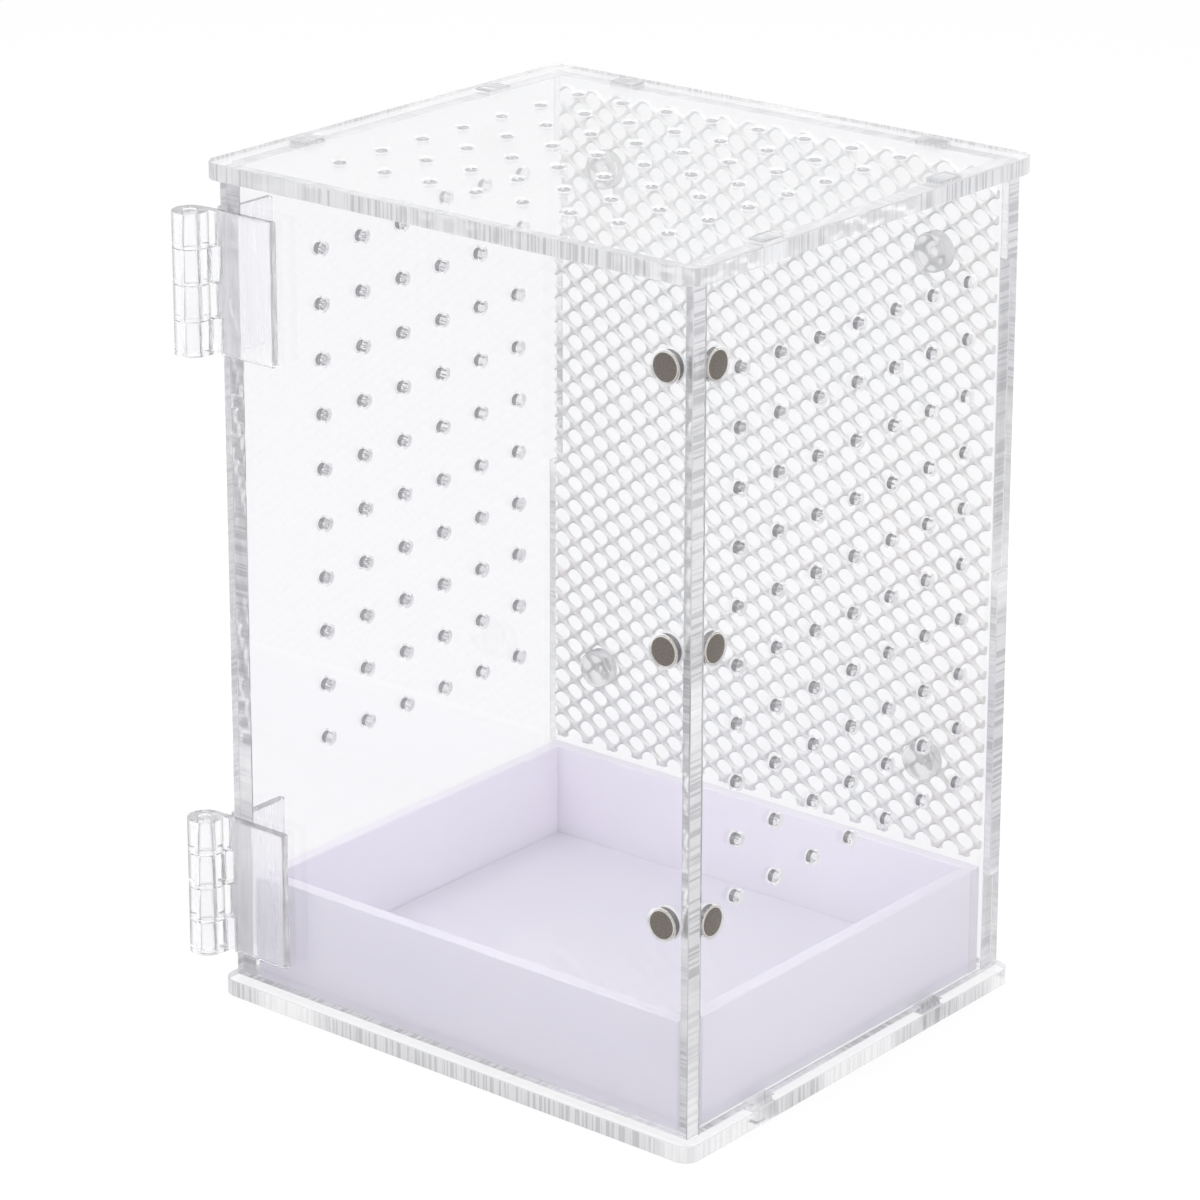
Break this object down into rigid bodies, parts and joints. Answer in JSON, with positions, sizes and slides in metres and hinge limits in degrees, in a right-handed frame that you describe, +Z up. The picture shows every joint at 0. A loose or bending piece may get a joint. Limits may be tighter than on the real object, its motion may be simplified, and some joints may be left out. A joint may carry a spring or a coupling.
{
  "type": "acrylic breeding box",
  "caption": "Clear acrylic breeding box with rows of vent holes, a hinged door held by magnets, a milky pull-out tray and a climbing net on the back wall.",
  "frame": {"origin": "centre of the underside of the base, midway between the outer faces of the side walls and of the door and the back wall", "axes": "+X from the door's hinges to its free edge, +Y from the door to the back wall, +Z up, which is the longest extent"},
  "size_m": [0.1085, 0.0965, 0.15],
  "materials": {
    "clear_sheet": "clear polished sheet with laser-cut edges",
    "clear_moulding": "clear injection-moulded plastic",
    "hinge_pin": "clear drawn rod",
    "magnet": "nickel plating",
    "milky_sheet": "milky translucent sheet, glossy",
    "net": "extruded net with rounded gaps",
    "button": "translucent moulded plastic"
  },
  "bodies": {
    "box": {"base_plate": "clear_sheet", "top_plate": "clear_sheet", "left_wall": "clear_sheet", "right_wall": "clear_sheet", "back_wall": "clear_sheet", "wall_magnet_lower": "magnet", "wall_magnet_middle": "magnet", "wall_magnet_upper": "magnet", "lower_hinge_wall_leaf": "clear_moulding", "upper_hinge_wall_leaf": "clear_moulding", "lower_hinge_pin": "hinge_pin", "upper_hinge_pin": "hinge_pin", "tray_front": "milky_sheet", "tray_back": "milky_sheet", "tray_left": "milky_sheet", "tray_right": "milky_sheet", "tray_floor": "milky_sheet", "climbing_net": "net", "net_button_lower_left": "button", "net_button_lower_right": "button", "net_button_upper_left": "button", "net_button_upper_right": "button"},
    "door": {"door_panel": "clear_sheet", "door_magnet_lower": "magnet", "door_magnet_middle": "magnet", "door_magnet_upper": "magnet", "lower_hinge_door_leaf": "clear_moulding", "upper_hinge_door_leaf": "clear_moulding"}
  },
  "joints": [
    {"name": "door_swing", "type": "hinge", "parent": "box", "child": "door", "pos_m": [-0.05345, -0.04745, 0.075], "axis": [0, 0, -1], "range_deg": [0, 270]}
  ]
}
